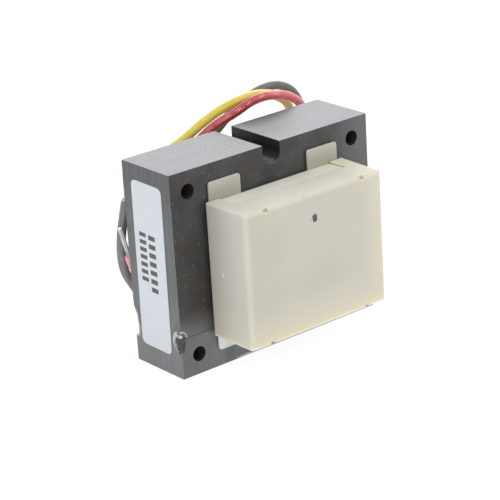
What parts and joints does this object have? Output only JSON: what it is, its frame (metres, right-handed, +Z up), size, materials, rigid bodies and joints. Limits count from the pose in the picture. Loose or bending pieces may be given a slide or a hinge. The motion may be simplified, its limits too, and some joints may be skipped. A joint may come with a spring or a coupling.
{
  "type": "control transformer",
  "caption": "Small frameless control transformer: a welded E-I lamination stack with a moulded coil cover on each face, corner mounting holes and insulated flying leads.",
  "frame": {"origin": "middle of the core's bottom face, halfway through the stack", "axes": "+Z up along the legs, from the I bar to the yoke; +X to the right and -Y towards the viewer who faces the front coil cover, so the leads come out behind at +Y"},
  "size_m": [0.0739, 0.0623, 0.06],
  "materials": {
    "core_steel": "satin, oxide annealed",
    "weld_metal": "melted, heat tinted",
    "nylon": "satin moulded",
    "copper_wire": "enamelled",
    "coil_tape": "film tape",
    "label_paper": "matte paper",
    "yellow_insulation": "satin",
    "red_insulation": "satin",
    "black_insulation": "satin",
    "tinned_copper": "tinned",
    "splice_sleeve": "woven sleeve"
  },
  "bodies": {
    "root": {"e_laminations": "core_steel", "i_laminations": "core_steel", "front_left_weld": "weld_metal", "front_right_weld": "weld_metal", "rear_left_weld": "weld_metal", "rear_right_weld": "weld_metal", "bobbin": "nylon", "primary_winding": "copper_wire", "secondary_winding": "copper_wire", "primary_wrap": "coil_tape", "secondary_wrap": "coil_tape", "front_cover": "nylon", "rear_cover": "nylon", "label": "label_paper", "yellow_lead": "yellow_insulation", "red_lead": "red_insulation", "black_lead": "black_insulation", "second_black_lead": "black_insulation", "yellow_lead_strands": "tinned_copper", "red_lead_strands": "tinned_copper", "black_lead_strands": "tinned_copper", "second_black_lead_strands": "tinned_copper", "yellow_lead_splice": "splice_sleeve", "red_lead_splice": "splice_sleeve", "black_lead_splice": "splice_sleeve", "second_black_lead_splice": "splice_sleeve"}
  },
  "joints": []
}
